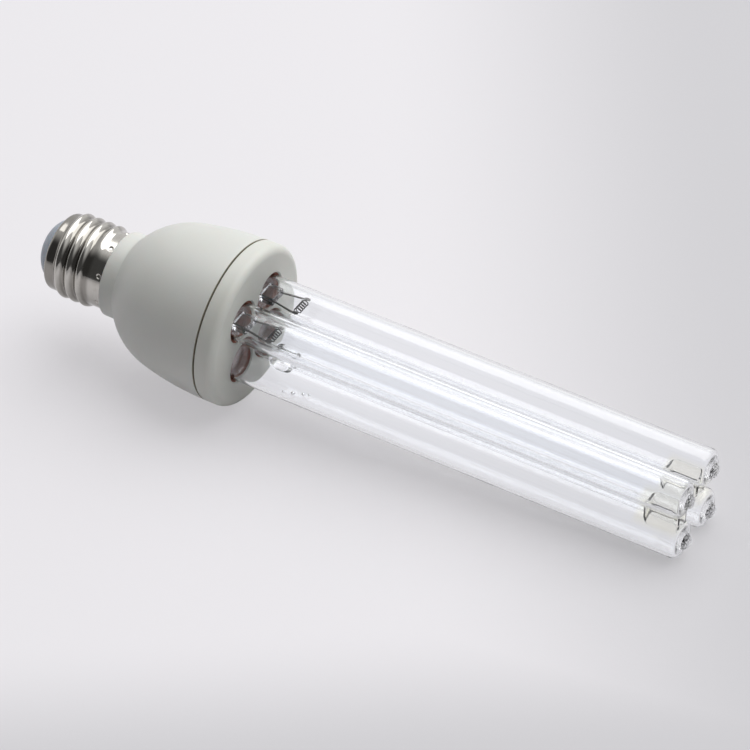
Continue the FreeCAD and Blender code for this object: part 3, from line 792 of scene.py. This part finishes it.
def wire(points, radius, thin=0):
    """A round wire along a smooth line through points, drawn thinner at a number of its first points."""
    curve = bpy.data.curves.new("wire", "CURVE")
    curve.dimensions = "3D"
    curve.bevel_depth = radius
    curve.bevel_resolution = 4
    curve.use_fill_caps = True
    spline = curve.splines.new("NURBS")
    spline.points.add(len(points) - 1)
    for knot, point in zip(spline.points, points):
        knot.co = (*point, 1.0)
    for knot in spline.points[:thin]:
        knot.radius = THIN_SHARE
    spline.order_u = 3
    spline.use_endpoint_u = True
    spline.resolution_u = 8
    holder = bpy.data.objects.new("wire", curve)
    mesh = bpy.data.meshes.new_from_object(holder)
    bm = bmesh.new()
    bm.from_mesh(mesh)
    bpy.data.objects.remove(holder)
    bpy.data.curves.remove(curve)
    bpy.data.meshes.remove(mesh)
    bmesh.ops.remove_doubles(bm, verts=bm.verts, dist=1e-4)
    bmesh.ops.recalc_face_normals(bm, faces=bm.faces)
    return bm


def coil_mesh(x, y):
    """A filament coil across the tube, with a leg at each end."""
    bm = bmesh.new()
    steps = COIL_TURNS * TURN_STEPS
    start = Matrix.Translation((COIL_RADIUS, 0, -COIL_LENGTH / 2)) @ Matrix.Rotation(math.pi / 2, 4, "X")
    bmesh.ops.create_circle(bm, cap_ends=True, segments=10, radius=COIL_WIRE, matrix=start)
    bmesh.ops.spin(
        bm, geom=bm.verts[:] + bm.edges[:] + bm.faces[:], cent=(0, 0, 0), axis=(0, 0, 1),
        angle=2 * math.pi * COIL_TURNS, steps=steps, dvec=(0, 0, COIL_LENGTH / steps),
    )
    legs = []
    for end in (-1, 1):
        z = end * COIL_LENGTH / 2
        out = end * LEAD_SPREAD / 2
        legs.append(wire([
            (COIL_RADIUS, 0, z), (COIL_RADIUS, -0.3 * end, z + 0.2 * end), (0.5, 0.0, z + 0.5 * end),
            (0.0, 0.0, out - 0.3 * end), (0.0, 0.0, out + 0.4 * end),
        ], COIL_WIRE))
    bm = joined([bm, *legs])
    bmesh.ops.recalc_face_normals(bm, faces=bm.faces)
    turn = Matrix(((0, -1, 0), (0, 0, 1), (-1, 0, 0))).to_4x4()
    bmesh.ops.transform(bm, matrix=Matrix.Translation((x, y, COIL_STATION)) @ turn, verts=bm.verts)
    return bm


def lead_mesh(x, y):
    """Two leads from the press, spread apart above it, each bent round a leg of the coil."""
    parts = []
    for sign in (-1, 1):
        near = y + sign * LEAD_SPACING / 2
        wide = y + sign * LEAD_SPREAD / 2
        parts.append(wire([
            (x, near, 69.8), (x, near, 75.0), (x, near + sign * 0.1, 76.6), (x, wide - sign * 0.2, 82.6),
            (x, wide, COIL_STATION - 0.6), (x - 0.1, wide, COIL_STATION + 0.55),
            (x - 0.45, wide, COIL_STATION + 0.75), (x - 0.62, wide, COIL_STATION),
            (x - 0.4, wide, COIL_STATION - 0.6),
        ], LEAD, 2))
    return joined(parts)


def make_electrodes():
    """Coils and leads of the two electrodes."""
    tungsten = wire_metal("tungsten", (0.09, 0.085, 0.08, 1), (0.035, 0.033, 0.032, 1), 0.45)
    lead_metal = wire_metal("lead_wire", (0.14, 0.135, 0.13, 1), (0.05, 0.048, 0.046, 1), 0.35)
    for name, (x, y) in ELECTRODES.items():
        place(f"coil_{name}", coil_mesh(x, y), tungsten, "tungsten", f"filament_{name}", sharp=60)
        place(f"leads_{name}", lead_mesh(x, y), lead_metal, "lead_metal", f"inner_leads_{name}", sharp=60)
        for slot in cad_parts[f"outer_leads_{name}"].material_slots:
            slot.material = lead_metal


def make_cement():
    """Uneven cement in the four holes, drawn up against the rim."""
    below = 64.6
    wall = 6.66
    middle = 70.46
    parts = []
    for number, (x, y) in enumerate(TUBES.values()):
        outline = Outline(0, below).line(wall, below).line(wall, 72.9, 6).arc(6.1, 72.2, -1.2, 5)
        outline.line(5.25, 70.95, 2).line(4.5, 70.62).line(3.6, middle, 2).line(0, middle, 2)
        bm = outline.turn(120)
        for vert in bm.verts:
            radius = math.hypot(vert.co.x, vert.co.y)
            if vert.co.z > 70.8 and radius > 5.4:
                wobble = noise.noise(vert.co * 0.55 + Vector((7.0 * number, 0, 0)))
                vert.co.z += 0.25 * wobble + 0.1 * noise.noise(vert.co * 2.3)
        bmesh.ops.translate(bm, verts=bm.verts, vec=(x, y, 0.0))
        parts.append(bm)
    place("cement_rings", joined(parts), red_cement(), "cement", "tube_cement", sharp=50)


# Mercury drops: station, angle from the tube's lowest line in degrees, radius
DROPS = ((91.0, 0.0, 0.62), (93.8, 14.0, 0.5), (88.2, -10.0, 0.42), (95.4, 22.0, 0.34))


def make_mercury():
    """Drops on the floor of the lower near tube, flattened where they lie."""
    x, y = TUBES["lower_near"]
    bore = TUBE - TUBE_WALL
    flattened = 0.72
    widened = 1.06
    parts = []
    for station, degrees, size in DROPS:
        bm = bmesh.new()
        bmesh.ops.create_icosphere(bm, subdivisions=4, radius=size)
        for vert in bm.verts:
            if vert.co.x > 0:
                vert.co.x *= flattened
                vert.co.yz = vert.co.yz * widened
        lift = bore - size * 0.78
        turn = Matrix.Rotation(math.radians(degrees), 4, "Z")
        move = Matrix.Translation((x, y, station)) @ turn @ Matrix.Translation((lift, 0, 0))
        bmesh.ops.transform(bm, matrix=move, verts=bm.verts)
        parts.append(bm)
    place("mercury_drops", joined(parts), mercury(), "mercury", "mercury_beads", sharp=60)


def dress_ballast():
    """Finishes of the parts inside the case, which keep their CAD shapes."""
    black = dipped("component_black", (0.045, 0.045, 0.047, 1), (0.022, 0.022, 0.024, 1), 0.42)
    finishes = {
        "seal_foils_far": foil_metal(),
        "circuit_board": board_laminate(),
        "smoothing_capacitor": dipped(
            "can_sleeve", (0.03, 0.035, 0.06, 1), (0.016, 0.018, 0.03, 1), 0.25, 0.01,
        ),
        "choke_core": dipped("ferrite", (0.09, 0.085, 0.085, 1), (0.045, 0.042, 0.042, 1), 0.55, 0.06),
        "choke_winding": wound_copper(),
        "trigger_ring": dipped("green_ring", tone(40, 108, 70), tone(26, 82, 52), 0.35),
        "transistor_upper": black,
        "resonant_capacitor": dipped("red_film", tone(150, 44, 32), tone(118, 30, 24), 0.22),
        "start_capacitor": dipped("green_film", tone(48, 104, 62), tone(34, 80, 46), 0.24),
        "rectifier_diodes": dipped("diode_black", (0.05, 0.05, 0.05, 1), (0.025, 0.025, 0.026, 1), 0.35),
        "base_resistors": dipped("resistor_tan", tone(206, 178, 132), tone(182, 150, 104), 0.4),
        "fuse_resistor": dipped("resistor_grey", tone(128, 140, 146), tone(100, 112, 118), 0.45),
        "contact_wire": dipped("wire_sleeve", tone(172, 40, 34), tone(140, 28, 24), 0.4),
    }
    shared = {
        "seal_foils_near": "seal_foils_far",
        "transistor_lower": "transistor_upper",
        "shell_wire": "contact_wire",
    }
    for node, source in shared.items():
        finishes[node] = finishes[source]
    for node, material in finishes.items():
        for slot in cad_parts[node].material_slots:
            slot.material = material


# The pale floor darkens to the viewer's right and in front between distances in metres, a painted fall-off
# of the light. Part of its brightness is a painted glow of its own, which also lightens its shadow: for the
# camera, for what shines, and most for what is looked through, which also falls off less. The way to the
# viewer's right is given in x and y.
RIGHT_X = 0.847
RIGHT_Y = 0.531
FALL_START = 0.005
FALL_END = 0.12
NEAR_START = -0.085
NEAR_END = -0.145
SEEN_GLOW = 0.55
SHINY_GLOW = 0.3
THROUGH_GLOW = 0.88
THROUGH_EVEN = 0.5


def make_floor():
    """A wide pale floor, a little darker to the right and in front with painted fall-off of the light, and
    a painted glow.
    """
    bm = bmesh.new()
    bmesh.ops.create_grid(bm, x_segments=4, y_segments=4, size=4.0)
    mesh = bpy.data.meshes.new("floor")
    bm.to_mesh(mesh)
    bm.free()
    floor = bpy.data.objects.new("floor", mesh)
    bpy.context.collection.objects.link(floor)
    finish = Finish("pale_paper", {"Specular IOR Level": 0.1, "Roughness": 0.9, "Emission Strength": 1.0})
    point = finish.add("ShaderNodeTexCoord", None, None, "Object")
    x, y, _ = finish.split(point)
    right = finish.step(x * RIGHT_X + y * RIGHT_Y, FALL_START, FALL_END)
    near = finish.step(y * RIGHT_X - x * RIGHT_Y, NEAR_START, NEAR_END)
    fibre = finish.noise(point, 900.0, 3.0)
    seen = finish.add("ShaderNodeLightPath", None, None, "Is Camera Ray")
    shiny = finish.add("ShaderNodeLightPath", None, None, "Is Glossy Ray")
    through = finish.add("ShaderNodeLightPath", None, None, "Is Transmission Ray")
    # Painted fall-off of the light: the floor's colour is darker to the right and in front.
    painted_falloff = right.math("MAXIMUM", right, near) * (1 - through * THROUGH_EVEN)
    paper_with_painted_falloff = finish.mix(painted_falloff, tone(234, 232, 235), tone(207, 206, 209))
    # Painted glow: part of the floor's brightness is emitted, which lightens its shadow.
    glow = seen * SEEN_GLOW + shiny.math("MAXIMUM", shiny * SHINY_GLOW, through * THROUGH_GLOW)
    finish.set(Base_Color=finish.mix(glow, paper_with_painted_falloff, (0, 0, 0, 1)))
    finish.set(Emission_Color=finish.mix(glow, (0, 0, 0, 1), paper_with_painted_falloff))
    finish.bump((fibre, 0.02))
    mesh.materials.append(finish.material)


# The share of the dark front that is taken away for what is looked through, and the front's depth
FRONT_CLEARED = 0.92
FRONT_DEPTH = 0.95


def make_world():
    """Soft surroundings, dark in front. Metal and glass see them white, glass almost without the dark."""
    world = bpy.data.worlds.new("studio")
    world.use_nodes = True
    bpy.context.scene.world = world
    nodes = Nodes(world.node_tree)
    direction = nodes.add("ShaderNodeTexCoord", None, None, "Generated")
    _, y, z = nodes.split(direction)
    fill = nodes.ramp(
        z, (0.0, (0.34, 0.34, 0.35, 1)), (0.3, (0.26, 0.26, 0.27, 1)), (1.0, (0.50, 0.50, 0.51, 1)),
    )
    shiny = nodes.add("ShaderNodeLightPath", None, None, "Is Glossy Ray")
    through = nodes.add("ShaderNodeLightPath", None, None, "Is Transmission Ray")
    around = nodes.mix(shiny.math("MAXIMUM", shiny, through), fill, (0.95, 0.95, 0.96, 1))
    front = nodes.step(y, 0.0, -0.55) * (1 - through * FRONT_CLEARED)
    colour = nodes.mix(front * FRONT_DEPTH, around, (0.03, 0.03, 0.03, 1))
    nodes.feed(world.node_tree.nodes["Background"].inputs["Color"], colour)


# The key light, behind the lamp and above it: place and width in metres, power in watts
KEY_PLACE = Vector((0.32, 0.75, 1.50))
KEY_WIDTH = 2.3
KEY_POWER = 39.0


def make_key():
    """A square soft light aimed at the lamp."""
    data = bpy.data.lights.new("key_softbox", "AREA")
    data.shape = "SQUARE"
    data.size = KEY_WIDTH
    data.energy = KEY_POWER
    light = bpy.data.objects.new("key_softbox", data)
    light.location = KEY_PLACE
    light.rotation_euler = KEY_PLACE.to_track_quat("Z", "Y").to_euler()
    bpy.context.collection.objects.link(light)


# The camera as fitted to the photograph's outlines: place in metres, angles in degrees, lens in millimetres
CAMERA_PLACE = Vector((0.6155, -0.9775, 0.9533))
CAMERA_AZIMUTH = 32.1
CAMERA_ELEVATION = 38.9
CAMERA_ROLL = -3.15
CAMERA_LENS = 243.0


def make_camera():
    """The camera at the photograph's viewing angle."""
    azimuth = math.radians(CAMERA_AZIMUTH)
    elevation = math.radians(CAMERA_ELEVATION)
    roll = math.radians(CAMERA_ROLL)
    back = Vector((math.sin(azimuth) * math.cos(elevation), -math.cos(azimuth) * math.cos(elevation),
                   math.sin(elevation)))
    level = Vector((math.cos(azimuth), math.sin(azimuth), 0.0))
    over = back.cross(level)
    right = level * math.cos(roll) + over * math.sin(roll)
    up = back.cross(right)
    data = bpy.data.cameras.new("photo_camera")
    data.lens = CAMERA_LENS
    data.sensor_width = 36.0
    data.clip_end = 20.0
    camera = bpy.data.objects.new("photo_camera", data)
    turn = Matrix((right, up, back)).transposed().to_4x4()
    camera.matrix_world = Matrix.Translation(CAMERA_PLACE) @ turn
    bpy.context.collection.objects.link(camera)
    bpy.context.scene.camera = camera


make_screw_shell()
make_insulator()
make_contact()
make_case()
make_lid()
make_vessel()
make_electrodes()
make_cement()
make_mercury()
dress_ballast()
make_floor()
make_world()
make_key()
make_camera()
bpy.context.scene.view_settings.view_transform = "Standard"
